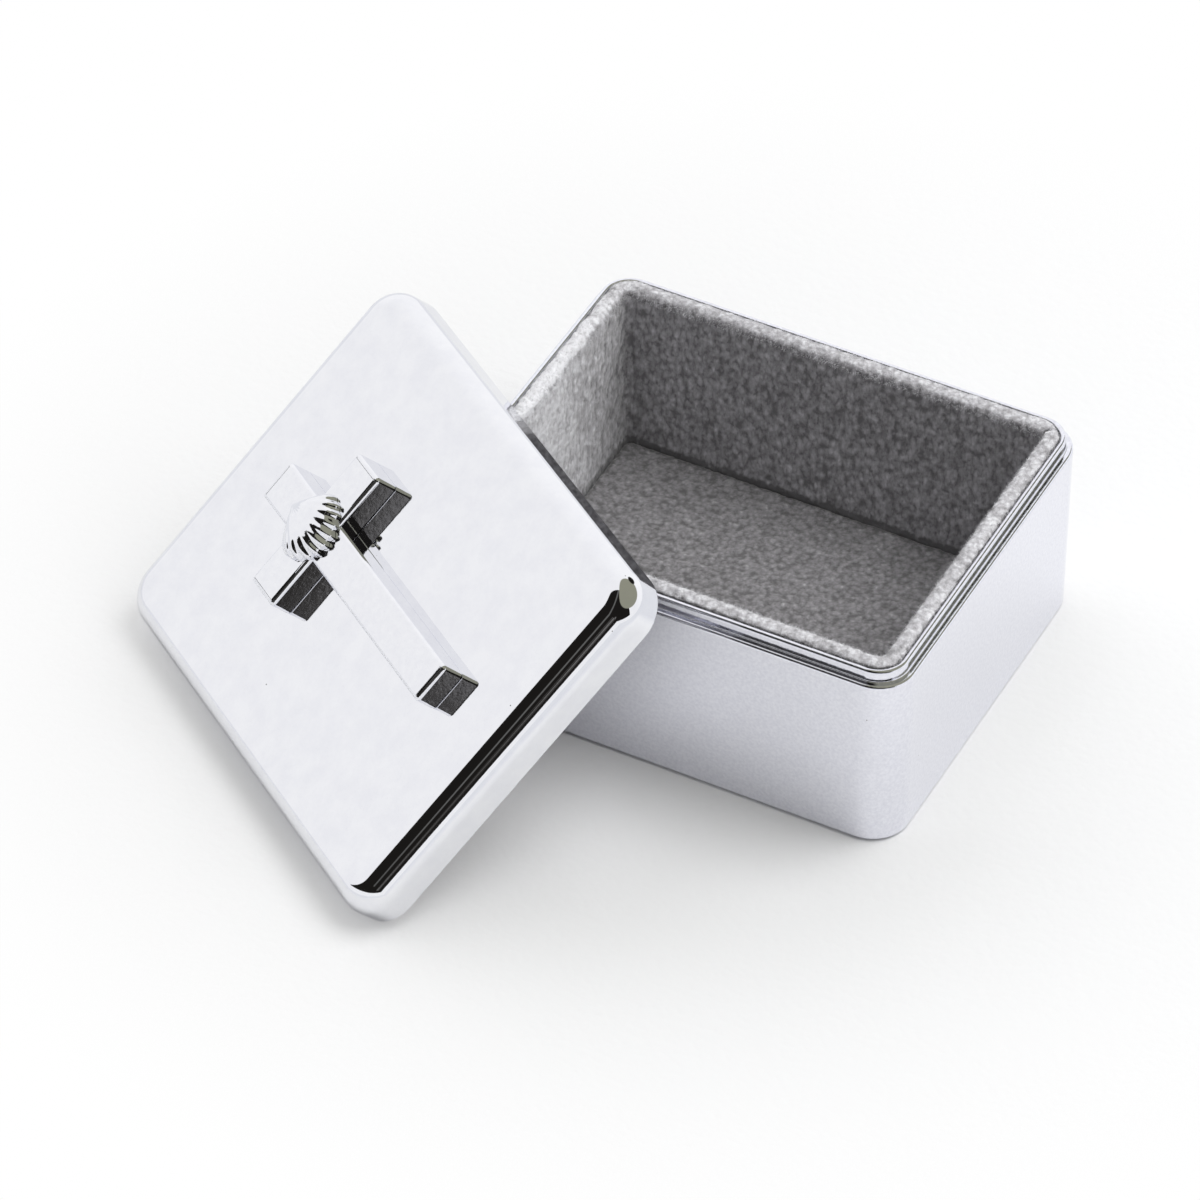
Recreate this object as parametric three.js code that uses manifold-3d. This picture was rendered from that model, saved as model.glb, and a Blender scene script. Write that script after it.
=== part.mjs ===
// A plated keepsake box with a lift-off lid that leans on the open box.
// Millimetres, +Z up. The origin is the middle of the face that the box stands on.
import * as THREE from "three";
import { mergeVertices } from "three/addons/utils/BufferGeometryUtils.js";
import Module from "manifold-3d";

const wasm = await Module();
wasm.setup();

// Box body
const BOX_LENGTH = 60;
const BOX_WIDTH = 49;
const LEDGE_HEIGHT = 23.4;
const CORNER_RADIUS = 4.5;
const FLOOR_THICKNESS = 0.8;
const EDGE_ROUND = 0.35;
const LEDGE_WIDTH = 0.85;
const LIP_HEIGHT = 1.5;
const LIP_THICKNESS = 0.75;
const BASE_RECESS = 0.4;
const BASE_RIM_WIDTH = 2.2;

// Soft pieces of the box
const GLUE_GAP = 0.05;
const FIT_GAP = 0.2;
const WALL_CARD = 0.6;
const WALL_VELVET = 0.95;
const FLOOR_CARD = 0.5;
const FLOOR_VELVET = 0.8;
const LINING_PROUD = 0.35;
const FLAP_THICKNESS = 0.5;
const FLAP_DROP = 4;
const LINING_JOINT = 0.35;
const FELT_THICKNESS = 0.6;
const FELT_FIT = 0.3;

// Lid
const LID_HEIGHT = 5.6;
const LID_TOP_THICKNESS = 1;
const LID_ROUND = 2.75;
const LID_PAD_CARD = 0.6;
const LID_PAD_RECESS = 1.3;
const LID_PAD_GAP = 0.3;
const SKIRT_GAP = 0.15;
const RIM_ROUND = 0.18;

// Cross on the lid
const CROSS_LENGTH = 38;
const CROSS_SPAN = 19.1;
const CROSS_BEAM = 5.15;
const CROSS_HEIGHT = 3.2;
const CROSS_BEVEL = 0.4;
const CROSS_CORNER = 0.5;
const CROSS_MIDDLE = 0.3;
const CROSS_ASIDE = 0.25;
const CROSS_ARM_MIDDLE = 9.65;

// Scallop shell on the crossing
const SHELL_RADIUS = 4.3;
const SHELL_BEAK_REACH = 3.35;
const SHELL_SHIFT = 0.85;
const SHELL_HALF_FAN = 53;
const SHELL_RIBS = 11;
const SHELL_RIM_HEIGHT = 1.3;
const SHELL_CROWN = 0.6;
const SHELL_RIB_DEPTH = 0.28;

// How the lid leans: its long axis points this way, it stands this far from the corner that it
// leans on, and its middle lies this far towards the foot of the cross from that corner.
const LEAN_TURN = 145.42;
const LEAN_REACH = 24.1;
const LEAN_SHIFT = 4.22;
const LEAN_GAP = 0.2;

const CORNER_STEPS = 8;
const ROUND_STEPS = 5;

const lipTop = LEDGE_HEIGHT + LIP_HEIGHT;
const wallInside = LEDGE_WIDTH + LIP_THICKNESS;
const liningOutside = wallInside + FIT_GAP;
const cardOutside = liningOutside + FLAP_THICKNESS + GLUE_GAP;
const cardInside = cardOutside + WALL_CARD;
const liningInside = cardInside + GLUE_GAP + WALL_VELVET;
const liningTop = lipTop + LINING_PROUD;
const standHeight = FELT_THICKNESS + GLUE_GAP - BASE_RECESS;
const floorTop = standHeight + BASE_RECESS + FLOOR_THICKNESS;

const silver = { color: 0xe4e5ea, roughness: 0.06, metalness: 1 };
const velvet = { color: 0x9a999d, roughness: 0.95, metalness: 0 };
const card = { color: 0x55545a, roughness: 0.9, metalness: 0 };
const felt = { color: 0x3c3c41, roughness: 0.98, metalness: 0 };

// Points of a quarter turn or other arc, from angle a to angle b in degrees, centre included.
function arc(cx, cz, rx, rz, a, b, steps = ROUND_STEPS) {
  return Array.from({ length: steps + 1 }, (_, i) => {
    const t = THREE.MathUtils.degToRad(a + ((b - a) * i) / steps);
    return [cx + rx * Math.cos(t), cz + rz * Math.sin(t)];
  });
}

// One level ring of a rounded rectangle, drawn in by inset and seen anticlockwise from above.
function ring(length, width, radius, inset, z) {
  const r = Math.max(radius - inset, 0.25);
  const x = length / 2 - inset - r;
  const y = width / 2 - inset - r;
  const centres = [[x, y], [-x, y], [-x, -y], [x, -y]];
  return centres.flatMap(([cx, cy], k) =>
    arc(cx, cy, r, r, 90 * k, 90 * (k + 1), CORNER_STEPS).map(([px, py]) => [px, py, z]),
  );
}

// Carries a profile of [inset, z] points round a rounded rectangle. An open profile starts at a
// flat face that looks down and ends at one that looks up; a closed one makes a frame.
function sweep(profile, length, width, radius, closed = false) {
  const rings = profile.map(([inset, z]) => ring(length, width, radius, inset, z));
  const n = rings[0].length;
  const index = [];
  const last = closed ? rings.length : rings.length - 1;
  for (let i = 0; i < last; i++) {
    const a = i * n;
    const b = ((i + 1) % rings.length) * n;
    for (let j = 0; j < n; j++) {
      const k = (j + 1) % n;
      index.push(a + j, a + k, b + k, a + j, b + k, b + j);
    }
  }
  if (!closed) {
    const top = (rings.length - 1) * n;
    for (let j = 1; j < n - 1; j++) {
      index.push(0, j + 1, j);
      index.push(top, top + j, top + j + 1);
    }
  }
  const geometry = new THREE.BufferGeometry();
  geometry.setAttribute("position", new THREE.Float32BufferAttribute(rings.flat(2), 3));
  geometry.setIndex(index);
  return geometry;
}

function solid(geometry) {
  const bare = geometry.clone();
  bare.deleteAttribute("normal");
  bare.deleteAttribute("uv");
  const merged = mergeVertices(bare, 1e-4);
  return new wasm.Manifold(
    new wasm.Mesh({
      numProp: 3,
      vertProperties: new Float32Array(merged.attributes.position.array),
      triVerts: new Uint32Array(merged.index.array),
    }),
  );
}

function geometryOf(body) {
  const mesh = body.getMesh();
  const geometry = new THREE.BufferGeometry();
  geometry.setAttribute("position", new THREE.BufferAttribute(mesh.vertProperties, 3));
  geometry.setIndex(new THREE.BufferAttribute(mesh.triVerts, 1));
  return geometry;
}

function piece(name, geometry, look) {
  geometry.computeVertexNormals();
  const mesh = new THREE.Mesh(geometry, new THREE.MeshStandardMaterial(look));
  mesh.name = name;
  return mesh;
}

// Cast and plated body: recessed underside, plain walls, then the ledge and the lip in one profile.
function boxShell() {
  const r = EDGE_ROUND;
  const lipRound = LIP_THICKNESS / 2;
  const lipMiddle = LEDGE_WIDTH + lipRound;
  const profile = [
    [BASE_RIM_WIDTH, standHeight + BASE_RECESS],
    [BASE_RIM_WIDTH, standHeight],
    ...arc(r, standHeight + r, r, r, 270, 180),
    ...arc(r, LEDGE_HEIGHT - r, r, r, 180, 90),
    [LEDGE_WIDTH, LEDGE_HEIGHT],
    ...arc(lipMiddle, lipTop - lipRound, lipRound, lipRound, 180, 0),
    [wallInside, floorTop],
  ];
  return sweep(profile, BOX_LENGTH, BOX_WIDTH, CORNER_RADIUS);
}

// Velvet wrapped over the top of its card: a tall face inside, a rounded fold, a short flap outside.
function wallLiningVelvet() {
  const middle = (liningOutside + liningInside) / 2;
  const half = (liningInside - liningOutside) / 2;
  const foldRise = half * 0.9;
  const cardTop = liningTop - WALL_VELVET;
  const foot = floorTop + GLUE_GAP;
  const flapFoot = liningTop - FLAP_DROP;
  const profile = [
    [liningInside, foot],
    [cardInside + GLUE_GAP, foot],
    [cardInside + GLUE_GAP, cardTop + GLUE_GAP],
    [cardOutside - GLUE_GAP, cardTop + GLUE_GAP],
    [cardOutside - GLUE_GAP, flapFoot],
    [liningOutside, flapFoot],
    ...arc(middle, liningTop - foldRise, half, foldRise, 180, 0, 8),
  ];
  return butted(sweep(profile, BOX_LENGTH, BOX_WIDTH, CORNER_RADIUS, true));
}

function wallLiningCard() {
  const foot = floorTop + GLUE_GAP;
  const top = liningTop - WALL_VELVET;
  const profile = [[cardOutside, foot], [cardOutside, top], [cardInside, top], [cardInside, foot]];
  return butted(sweep(profile, BOX_LENGTH, BOX_WIDTH, CORNER_RADIUS, true));
}

// The strip's two ends meet at the far right corner, with a hair's breadth between them.
function butted(geometry) {
  const reach = CORNER_RADIUS + liningInside;
  const slot = new THREE.BoxGeometry(4 * reach, LINING_JOINT, 4 * liningTop);
  slot.rotateZ(Math.PI / 4);
  slot.translate(
    BOX_LENGTH / 2 - CORNER_RADIUS + reach,
    BOX_WIDTH / 2 - CORNER_RADIUS + reach,
    liningTop,
  );
  return geometryOf(solid(geometry).subtract(solid(slot)));
}

// A flat sheet with softly rounded upper and lower edges.
function sheet(length, width, radius, bottom, thickness, roundness) {
  const r = Math.min(roundness, thickness / 2);
  const profile = [
    ...arc(r, bottom + r, r, r, 270, 180, 3),
    ...arc(r, bottom + thickness - r, r, r, 180, 90, 3),
  ];
  return sweep(profile, length, width, radius);
}

function floorPad(bottom, thickness, roundness) {
  const inset = liningInside + FIT_GAP;
  return sheet(
    BOX_LENGTH - 2 * inset,
    BOX_WIDTH - 2 * inset,
    Math.max(CORNER_RADIUS - inset, 0.6),
    bottom,
    thickness,
    roundness,
  );
}

function baseFelt() {
  const inset = BASE_RIM_WIDTH + FELT_FIT;
  return sheet(
    BOX_LENGTH - 2 * inset,
    BOX_WIDTH - 2 * inset,
    CORNER_RADIUS - inset,
    0,
    FELT_THICKNESS,
    0.15,
  );
}

// Lid, in its own frame: +Y towards the head of the cross, z = 0 at the rim of the skirt.
function lidShell() {
  const skirt = LEDGE_WIDTH - SKIRT_GAP;
  const roof = LID_HEIGHT - LID_TOP_THICKNESS;
  const inner = LID_ROUND - skirt;
  const r = RIM_ROUND;
  const profile = [
    ...arc(skirt + inner, roof - inner, inner, inner, 90, 180),
    ...arc(skirt - r, r, r, r, 0, -90, 3),
    ...arc(r, r, r, r, 270, 180, 3),
    ...arc(LID_ROUND, LID_HEIGHT - LID_ROUND, LID_ROUND, LID_ROUND, 180, 90, 8),
  ];
  return sweep(profile, BOX_WIDTH, BOX_LENGTH, CORNER_RADIUS);
}

// The pad goes down between the lining's folds when the lid is on.
function lidPad(bottom, thickness, roundness) {
  const inset = liningInside + LID_PAD_GAP;
  return sheet(
    BOX_WIDTH - 2 * inset,
    BOX_LENGTH - 2 * inset,
    Math.max(CORNER_RADIUS - inset, 1.2),
    bottom,
    thickness,
    roundness,
  );
}

// Latin cross with upright sides and a rounded top edge: the extrusion's lower edge is cut away.
function crossBody() {
  const b = CROSS_BEAM / 2;
  const s = CROSS_SPAN / 2;
  const foot = CROSS_MIDDLE - CROSS_LENGTH / 2;
  const head = CROSS_MIDDLE + CROSS_LENGTH / 2;
  const low = CROSS_ARM_MIDDLE - b;
  const high = CROSS_ARM_MIDDLE + b;
  const c = CROSS_CORNER;
  const turn = (x, y, from) => arc(x, y, c, c, from, from + 90, 3);
  const outline = [
    ...turn(b - c, foot + c, 270), [b, low], ...turn(s - c, low + c, 270), ...turn(s - c, high - c, 0),
    [b, high], ...turn(b - c, head - c, 0),
  ];
  const mirrored = outline.map(([x, y]) => [-x, y]).reverse();
  const shape = new THREE.Shape([...outline, ...mirrored].map(([x, y]) => new THREE.Vector2(x, y)));
  const bar = new THREE.ExtrudeGeometry(shape, {
    depth: CROSS_HEIGHT,
    bevelEnabled: true,
    bevelThickness: CROSS_BEVEL,
    bevelSize: CROSS_BEVEL,
    bevelOffset: -CROSS_BEVEL,
    bevelSegments: 4,
  });
  bar.translate(0, 0, -CROSS_BEVEL);
  const below = new THREE.BoxGeometry(CROSS_LENGTH * 2, CROSS_LENGTH * 2, CROSS_LENGTH);
  below.translate(0, 0, -CROSS_LENGTH / 2);
  return geometryOf(solid(bar).subtract(solid(below)));
}

// Scallop: ribs fan from the beak, and the outline is a circle that the fan cuts to a wedge.
// The height rises from the beak to a crown and ends in a steep, lobed rim.
function scallop() {
  const ribSteps = 6;
  const columns = SHELL_RIBS * ribSteps;
  const rows = 9;
  const halfFan = THREE.MathUtils.degToRad(SHELL_HALF_FAN);
  const points = [];
  const index = [];
  const reachAt = (angle) =>
    SHELL_BEAK_REACH * Math.cos(angle) +
    Math.sqrt(SHELL_RADIUS ** 2 - (SHELL_BEAK_REACH * Math.sin(angle)) ** 2);
  for (let i = 0; i <= columns; i++) {
    const across = (2 * i) / columns - 1;
    const angle = across * halfFan;
    const ridge = Math.cos((2 * Math.PI * i) / ribSteps + Math.PI);
    const side = Math.sqrt(1 - 0.72 * across ** 4);
    for (let j = 1; j <= rows; j++) {
      const out = j / rows;
      const lobe = 1 + 0.03 * ridge * out ** 3;
      const r = reachAt(angle) * out * lobe;
      const rise = 0.55 + 0.45 * Math.sin(Math.PI * Math.min(out * 0.62 + 0.1, 1));
      const crown = SHELL_CROWN * Math.sin(Math.PI * out ** 1.2) * Math.cos(angle);
      const rib = SHELL_RIB_DEPTH * ridge * Math.sqrt(out);
      const z = (SHELL_RIM_HEIGHT * rise * side + crown + rib * side);
      points.push([r * Math.sin(angle), SHELL_BEAK_REACH - r * Math.cos(angle), z]);
    }
  }
  const top = (i, j) => i * rows + j;
  const beakTop = points.length;
  points.push([0, SHELL_BEAK_REACH + 0.25, 0.7]);
  const floorOf = points.length;
  for (let i = 0; i <= columns; i++) {
    const [x, y] = points[top(i, rows - 1)];
    points.push([x, y, 0]);
  }
  const beakFoot = points.length;
  points.push([0, SHELL_BEAK_REACH + 0.25, 0]);
  for (let i = 0; i < columns; i++) {
    index.push(beakTop, top(i, 0), top(i + 1, 0));
    for (let j = 0; j < rows - 1; j++) {
      index.push(top(i, j), top(i, j + 1), top(i + 1, j + 1));
      index.push(top(i, j), top(i + 1, j + 1), top(i + 1, j));
    }
    index.push(top(i, rows - 1), floorOf + i, floorOf + i + 1);
    index.push(top(i, rows - 1), floorOf + i + 1, top(i + 1, rows - 1));
    index.push(beakFoot, floorOf + i + 1, floorOf + i);
  }
  for (const [i, turn] of [[0, 1], [columns, -1]]) {
    const fan = [beakFoot, beakTop];
    for (let j = 0; j < rows; j++) fan.push(top(i, j));
    fan.push(floorOf + i);
    for (let k = 1; k < fan.length - 1; k++) {
      if (turn > 0) index.push(fan[0], fan[k + 1], fan[k]);
      else index.push(fan[0], fan[k], fan[k + 1]);
    }
  }
  const geometry = new THREE.BufferGeometry();
  geometry.setAttribute("position", new THREE.Float32BufferAttribute(points.flat(), 3));
  geometry.setIndex(index);
  return geometry;
}

function boxGroup() {
  const group = new THREE.Group();
  group.add(piece("box_shell", boxShell(), silver));
  group.add(piece("wall_lining_card", wallLiningCard(), card));
  group.add(piece("wall_lining_velvet", wallLiningVelvet(), velvet));
  const cardFoot = floorTop + GLUE_GAP;
  const velvetFoot = cardFoot + FLOOR_CARD + GLUE_GAP;
  group.add(piece("floor_pad_card", floorPad(cardFoot, FLOOR_CARD, 0.05), card));
  group.add(piece("floor_pad_velvet", floorPad(velvetFoot, FLOOR_VELVET, 0.4), velvet));
  group.add(piece("base_felt", baseFelt(), felt));
  return group;
}

function lidGroup() {
  const group = new THREE.Group();
  group.add(piece("lid_shell", lidShell(), silver));
  const roof = LID_HEIGHT - LID_TOP_THICKNESS;
  const cardFoot = roof - GLUE_GAP - LID_PAD_CARD;
  const velvetThickness = cardFoot - GLUE_GAP - LID_PAD_RECESS;
  group.add(piece("lid_pad_card", lidPad(cardFoot, LID_PAD_CARD, 0.05), card));
  group.add(piece("lid_pad_velvet", lidPad(LID_PAD_RECESS, velvetThickness, 0.6), velvet));

  const cross = piece("cross", crossBody(), silver);
  cross.position.set(CROSS_ASIDE, 0, LID_HEIGHT + GLUE_GAP);
  group.add(cross);

  const shell = piece("scallop_shell", scallop(), silver);
  shell.position.set(
    CROSS_ASIDE,
    CROSS_ARM_MIDDLE + SHELL_SHIFT,
    LID_HEIGHT + CROSS_HEIGHT + 2 * GLUE_GAP,
  );
  group.add(shell);
  return group;
}

// The lid stands on the lower long edge of its rim and leans on the lip's near left corner, which
// touches its lining. The lean angle follows from that corner's height and reach.
function lean(group) {
  const turn = THREE.MathUtils.degToRad(LEAN_TURN);
  const head = new THREE.Vector3(Math.cos(turn), Math.sin(turn), 0);
  const inward = new THREE.Vector3(head.y, -head.x, 0);
  const lipRadius = CORNER_RADIUS - LEDGE_WIDTH;
  const corner = new THREE.Vector3(
    CORNER_RADIUS - BOX_LENGTH / 2,
    CORNER_RADIUS - BOX_WIDTH / 2,
    lipTop,
  ).addScaledVector(inward, -lipRadius);
  const depth = LID_PAD_RECESS - LEAN_GAP;
  const tilt = Math.acos(depth / Math.hypot(lipTop, LEAN_REACH)) - Math.atan2(LEAN_REACH, lipTop);
  const arm = inward.clone().multiplyScalar(Math.cos(tilt));
  arm.z = Math.sin(tilt);
  const normal = new THREE.Vector3().crossVectors(arm, head);
  const stand = corner.clone().setZ(-RIM_ROUND * (Math.cos(tilt) + Math.sin(tilt) - 1));
  stand.addScaledVector(inward, -LEAN_REACH).addScaledVector(head, -LEAN_SHIFT);
  group.quaternion.setFromRotationMatrix(new THREE.Matrix4().makeBasis(arm, head, normal));
  group.position.copy(stand).addScaledVector(arm, BOX_WIDTH / 2);
  return group;
}

const group = new THREE.Group();
group.add(boxGroup());
group.add(lean(lidGroup()));

export default group;
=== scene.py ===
import math
import random

import bmesh
import bpy
from mathutils import Euler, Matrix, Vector, noise


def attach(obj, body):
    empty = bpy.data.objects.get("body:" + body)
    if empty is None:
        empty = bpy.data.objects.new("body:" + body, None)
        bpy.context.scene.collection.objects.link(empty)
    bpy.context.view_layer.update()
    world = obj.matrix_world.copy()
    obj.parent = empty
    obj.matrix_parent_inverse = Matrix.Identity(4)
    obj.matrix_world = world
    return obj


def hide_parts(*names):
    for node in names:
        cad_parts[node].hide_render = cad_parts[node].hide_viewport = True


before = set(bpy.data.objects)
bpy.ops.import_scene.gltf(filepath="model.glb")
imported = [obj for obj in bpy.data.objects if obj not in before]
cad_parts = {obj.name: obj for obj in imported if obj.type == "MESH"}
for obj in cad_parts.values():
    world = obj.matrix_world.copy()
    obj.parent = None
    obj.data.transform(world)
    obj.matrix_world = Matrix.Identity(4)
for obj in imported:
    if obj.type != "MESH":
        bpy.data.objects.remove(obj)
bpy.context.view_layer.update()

# The box body is one drawn metal tray, plated and polished to a mirror. Its wall steps in to a
# ledge that carries the lid, and a thin lip with a rounded top stands up inside the ledge.
BOX_LENGTH = 0.060
BOX_WIDTH = 0.049
CORNER_RADIUS = 0.0045
STAND_HEIGHT = 0.00025
WALL_EDGE = 0.00035
LIP_EDGE = 0.00036
LEDGE_FILLET = 0.00016
RECESS_EDGE = 0.00012
LEDGE_HEIGHT = 0.0234
LEDGE_WIDTH = 0.00085
LIP_TOP = 0.0249
LIP_THICKNESS = 0.00075
BOX_FLOOR = 0.00145
RIM_UNDERNEATH = 0.0022
RECESS_UNDERNEATH = 0.0004


def block(name, size, centre):
    """A cube of that size at that place, alone in the selection."""
    bpy.ops.object.select_all(action="DESELECT")
    bpy.ops.mesh.primitive_cube_add(size=1, location=centre)
    piece = bpy.context.object
    piece.name = name
    piece.scale = size
    bpy.ops.object.transform_apply(location=True, rotation=True, scale=True)
    return piece


def pick_faces(piece, wanted):
    bpy.ops.mesh.select_mode(type="FACE")
    bpy.ops.mesh.select_all(action="DESELECT")
    mesh = bmesh.from_edit_mesh(piece.data)
    for face in mesh.faces:
        face.select_set(wanted(face.calc_center_median(), face.normal))
    bmesh.update_edit_mesh(piece.data)


def pick_edges(piece, wanted):
    bpy.ops.mesh.select_mode(type="EDGE")
    bpy.ops.mesh.select_all(action="DESELECT")
    mesh = bmesh.from_edit_mesh(piece.data)
    for edge in mesh.edges:
        edge.select_set(wanted(*(vert.co for vert in edge.verts)))
    bmesh.update_edit_mesh(piece.data)


def inset_of(point, length, width, radius=CORNER_RADIUS):
    """How far a point lies inside the outline of a rounded rectangle."""
    across = abs(point.x) - length / 2 + radius
    along = abs(point.y) - width / 2 + radius
    if across > 0 and along > 0:
        return radius - math.hypot(across, along)
    return radius - max(across, along)


def edge_loop(length, width, height, inset):
    """Tells the edges of the level loop at that height and that far inside the outline."""
    return lambda a, b: all(
        abs(end.z - height) < 1e-5 and abs(inset_of(end, length, width) - inset) < 2e-5
        for end in (a, b)
    )


def push(distance):
    bpy.ops.mesh.extrude_region_move(TRANSFORM_OT_translate={"value": (0, 0, distance)})


def round_corners(piece, height, radius, segments):
    """Rounds the four upright corners of a block."""
    pick_edges(piece, lambda a, b: abs(a.z - b.z) > height / 2)
    bpy.ops.mesh.bevel(offset=radius, segments=segments)


def polish(piece, angle=35):
    """Smooth normals that leave the flat faces truly flat, as a mirror shows every dent."""
    bpy.ops.object.mode_set(mode="OBJECT")
    bpy.ops.object.shade_smooth_by_angle(angle=math.radians(angle))
    modifier = piece.modifiers.new("flat faces", "WEIGHTED_NORMAL")
    modifier.keep_sharp = True
    modifier.weight = 100
    bpy.ops.object.modifier_apply(modifier=modifier.name)


def silver_plate(name, peel, peel_size, seed, blue=0.86, depth=0.0):
    """Mirror plating: a bright cool metal, hazier in places, with a fine orange peel.

    peel and peel_size are the peel's height and width, depth darkens the tone as painted shade.
    """
    material = bpy.data.materials.new(name)
    material.use_nodes = True
    nodes = material.node_tree.nodes
    link = material.node_tree.links.new
    surface = nodes["Principled BSDF"]
    surface.inputs["Metallic"].default_value = 1
    place = nodes.new("ShaderNodeTexCoord")
    shifted = nodes.new("ShaderNodeMapping")
    shifted.inputs["Location"].default_value = (seed, seed * 0.7, 0)
    link(place.outputs["Object"], shifted.inputs["Vector"])

    haze = nodes.new("ShaderNodeTexNoise")
    haze.inputs["Scale"].default_value = 90
    haze.inputs["Detail"].default_value = 4
    link(shifted.outputs["Vector"], haze.inputs["Vector"])
    dull = nodes.new("ShaderNodeMapRange")
    dull.inputs["From Min"].default_value = 0.35
    dull.inputs["From Max"].default_value = 0.75
    dull.inputs["To Min"].default_value = 0.025
    dull.inputs["To Max"].default_value = 0.06
    link(haze.outputs["Fac"], dull.inputs["Value"])
    link(dull.outputs["Result"], surface.inputs["Roughness"])

    tone = nodes.new("ShaderNodeMix")
    tone.data_type = "RGBA"
    tone.inputs["A"].default_value = (0.82 - depth, 0.825 - depth, blue - depth, 1)
    tone.inputs["B"].default_value = (0.86, 0.865, blue + 0.03, 1)

    specks = nodes.new("ShaderNodeTexVoronoi")
    specks.inputs["Scale"].default_value = 170
    link(shifted.outputs["Vector"], specks.inputs["Vector"])
    pitted = nodes.new("ShaderNodeMapRange")
    pitted.inputs["From Min"].default_value = 0.012
    pitted.inputs["From Max"].default_value = 0.016
    link(specks.outputs["Distance"], pitted.inputs["Value"])
    dusted = nodes.new("ShaderNodeMix")
    dusted.data_type = "RGBA"
    dusted.inputs["A"].default_value = (0.16, 0.16, 0.15, 1)
    link(pitted.outputs["Result"], dusted.inputs["Factor"])
    link(tone.outputs["Result"], dusted.inputs["B"])
    link(dusted.outputs["Result"], surface.inputs["Base Color"])

    grain = nodes.new("ShaderNodeTexNoise")
    grain.inputs["Scale"].default_value = 1 / peel_size
    grain.inputs["Detail"].default_value = 4
    grain.inputs["Roughness"].default_value = 0.65
    link(shifted.outputs["Vector"], grain.inputs["Vector"])
    bump = nodes.new("ShaderNodeBump")
    bump.inputs["Strength"].default_value = 1
    bump.inputs["Distance"].default_value = peel
    link(grain.outputs["Fac"], bump.inputs["Height"])
    link(bump.outputs["Normal"], surface.inputs["Normal"])
    streaks = nodes.new("ShaderNodeMapRange")
    streaks.inputs["From Min"].default_value = 0.35
    streaks.inputs["From Max"].default_value = 0.65
    link(grain.outputs["Fac"], streaks.inputs["Value"])
    link(streaks.outputs["Result"], tone.inputs["Factor"])
    return material


box_wall = block(
    "plated_box_body",
    (BOX_LENGTH, BOX_WIDTH, LEDGE_HEIGHT - STAND_HEIGHT),
    (0, 0, (LEDGE_HEIGHT + STAND_HEIGHT) / 2),
)
bpy.ops.object.mode_set(mode="EDIT")
round_corners(box_wall, LEDGE_HEIGHT, CORNER_RADIUS, 20)
pick_faces(box_wall, lambda centre, normal: normal.z > 0.9)
bpy.ops.mesh.inset(thickness=LEDGE_WIDTH)
push(LIP_TOP - LEDGE_HEIGHT)
bpy.ops.mesh.inset(thickness=LIP_THICKNESS)
push(BOX_FLOOR - LIP_TOP)
pick_faces(box_wall, lambda centre, normal: normal.z < -0.9)
bpy.ops.mesh.inset(thickness=RIM_UNDERNEATH)
push(RECESS_UNDERNEATH)
lip_inside = LEDGE_WIDTH + LIP_THICKNESS
for height, inset, radius, segments in [
    (LEDGE_HEIGHT, 0, WALL_EDGE, 6),
    (STAND_HEIGHT, 0, WALL_EDGE, 6),
    (STAND_HEIGHT, RIM_UNDERNEATH, RECESS_EDGE, 3),
    (LIP_TOP, LEDGE_WIDTH, LIP_EDGE, 7),
    (LIP_TOP, lip_inside, LIP_EDGE, 7),
    (LEDGE_HEIGHT, LEDGE_WIDTH, LEDGE_FILLET, 5),
]:
    pick_edges(box_wall, edge_loop(BOX_LENGTH, BOX_WIDTH, height, inset))
    bpy.ops.mesh.bevel(offset=radius, segments=segments)
polish(box_wall)
# Painted shade and painted reflection: the box's plate is darker and bluer than the lid's, so its
# walls show darker, bluer reflections.
box_wall.data.materials.append(
    silver_plate("silver_plate_box", 0.000014, 0.0004, 0.0, blue=0.89, depth=0.06)
)
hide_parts("box_shell")
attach(box_wall, "box")

# The wall lining is grey velvet glued round a strip of card. It is folded over the card's top
# edge, goes down behind it, and its two ends meet at the far right corner.
LINING_OUTSIDE = 0.0018
LINING_INSIDE = 0.00395
LINING_LEAN = 0.0004
LINING_OVERHANG = 0.0005
LINING_TOP = 0.02525
LINING_FOOT = BOX_FLOOR + 0.00005
CARD_OUTSIDE = 0.0023
CARD_INSIDE = 0.0030
CARD_TOP = 0.0243
FLAP_FOOT = 0.02125
FOLD_ROUND = 0.00085
JOINT_WIDTH = 0.00055
JOINT_BEYOND = 0.0055
NAP_GRID = 0.00022
NAP_CLUMP = 0.0007
NAP_HEIGHT = 0.00016
# Above this height the fold's top bulges out over the lip and is painted lighter, as painted light
# where more light falls.
FOLD_TOP_FROM = 0.0245
FOLD_TOP_OVER = 0.0006
FOLD_PAINTED_LIGHT = 0.42
FOLD_WIDTH = 0.0025
# Painted shade: the foot of each wall is painted darker, where it meets the floor pad.
FOOT_DARK_BELOW = 0.0034
FOOT_DARK_OVER = 0.0005
FOOT_PAINTED_SHADE = 0.5
# Painted sheen: the left wall is painted lighter towards the front, as the light from the right
# catches its pile.
LEFT_WALL_SHEEN_FROM = 0.02
LEFT_WALL_SHEEN_OVER = 0.018
LEFT_WALL_PAINTED_SHEEN = 0.75
FIBRES_ABOVE = 0.0239
FIBRE_COUNT = 26000
FIBRE_LENGTH = 0.00042
FIBRE_WIDTH = 0.000021
FIBRE_ROOT = 0.00004


def cut_away(piece, cutter):
    """Takes the cutter's space out of a piece."""
    bpy.ops.object.select_all(action="DESELECT")
    bpy.context.view_layer.objects.active = piece
    cut = piece.modifiers.new("cut", "BOOLEAN")
    cut.object = cutter
    cut.solver = "EXACT"
    bpy.ops.object.modifier_apply(modifier=cut.name)
    bpy.data.objects.remove(cutter)


def remesh(piece, size):
    """Even small faces all over, which the pile is then raised from."""
    piece.data.remesh_voxel_size = size
    bpy.ops.object.select_all(action="DESELECT")
    piece.select_set(True)
    bpy.context.view_layer.objects.active = piece
    bpy.ops.object.voxel_remesh()


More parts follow.
